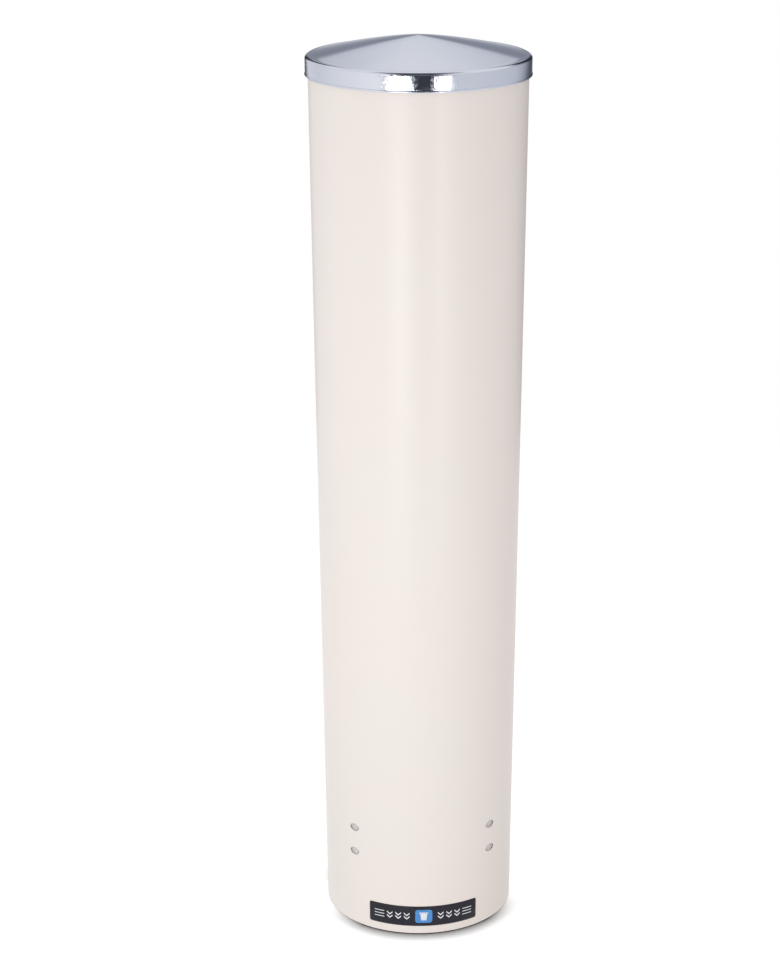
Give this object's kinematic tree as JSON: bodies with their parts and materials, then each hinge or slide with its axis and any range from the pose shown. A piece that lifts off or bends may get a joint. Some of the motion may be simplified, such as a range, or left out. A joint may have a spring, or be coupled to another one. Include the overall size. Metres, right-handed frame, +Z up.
{
  "type": "cup dispenser",
  "caption": "Wall-mounted pull-type cup dispenser: a tapered sand plastic tube with a polished lift-off cap, a dark label strip and sprung fingers inside its open foot.",
  "frame": {"origin": "on the tube's axis, in the plane of its lower rim", "axes": "+Z up along the tube, -Y towards the front with the label, +Y towards the wall it hangs on, +X to the right as seen from the front"},
  "size_m": [0.1472, 0.1513, 0.611],
  "materials": {
    "sand_plastic": "moulded, soft sheen",
    "chrome": "mirror polish",
    "label_film": "dark satin film, printed",
    "natural_acetal": "moulded, satin",
    "spring_steel": "rolled strip",
    "zinc_screw": "bright zinc plate"
  },
  "bodies": {
    "housing": {"dispenser_tube": "sand_plastic", "label_plate": "label_film", "finger_base_front_left": "natural_acetal", "finger_base_front_right": "natural_acetal", "finger_base_rear_left": "natural_acetal", "finger_base_rear_right": "natural_acetal", "finger_spring_front_left": "spring_steel", "finger_spring_front_right": "spring_steel", "finger_spring_rear_left": "spring_steel", "finger_spring_rear_right": "spring_steel", "wall_bracket_upper": "sand_plastic", "wall_bracket_lower": "sand_plastic", "bracket_screw_upper_top": "zinc_screw", "bracket_screw_upper_bottom": "zinc_screw", "bracket_screw_lower_top": "zinc_screw", "bracket_screw_lower_bottom": "zinc_screw"},
    "cap": {"lift_off_cap": "chrome"},
    "finger_front_left": {"cup_finger_front_left": "natural_acetal"},
    "finger_front_right": {"cup_finger_front_right": "natural_acetal"},
    "finger_rear_left": {"cup_finger_rear_left": "natural_acetal"},
    "finger_rear_right": {"cup_finger_rear_right": "natural_acetal"}
  },
  "joints": [
    {"name": "cap_lift", "type": "slide", "parent": "housing", "child": "cap", "axis": [0, 0, 1], "range_m": [0, 0.06]},
    {"name": "finger_swing_front_left", "type": "hinge", "parent": "housing", "child": "finger_front_left", "pos_m": [-0.04068, -0.04012, 0.048], "axis": [-0.7022, 0.712, 0], "range_deg": [0, 20], "stiffness_Nm_per_rad": 0.05, "springref_deg": -5.73, "deforming": ["finger_spring_front_left"]},
    {"name": "finger_swing_front_right", "type": "hinge", "parent": "housing", "child": "finger_front_right", "pos_m": [0.04068, -0.04012, 0.048], "axis": [-0.7022, -0.712, 0], "range_deg": [0, 20], "stiffness_Nm_per_rad": 0.05, "springref_deg": -5.73, "deforming": ["finger_spring_front_right"]},
    {"name": "finger_swing_rear_right", "type": "hinge", "parent": "housing", "child": "finger_rear_right", "pos_m": [0.04068, 0.04012, 0.048], "axis": [0.7022, -0.712, 0], "range_deg": [0, 20], "stiffness_Nm_per_rad": 0.05, "springref_deg": -5.73, "deforming": ["finger_spring_rear_right"]},
    {"name": "finger_swing_rear_left", "type": "hinge", "parent": "housing", "child": "finger_rear_left", "pos_m": [-0.04068, 0.04012, 0.048], "axis": [0.7022, 0.712, 0], "range_deg": [0, 20], "stiffness_Nm_per_rad": 0.05, "springref_deg": -5.73, "deforming": ["finger_spring_rear_left"]}
  ]
}
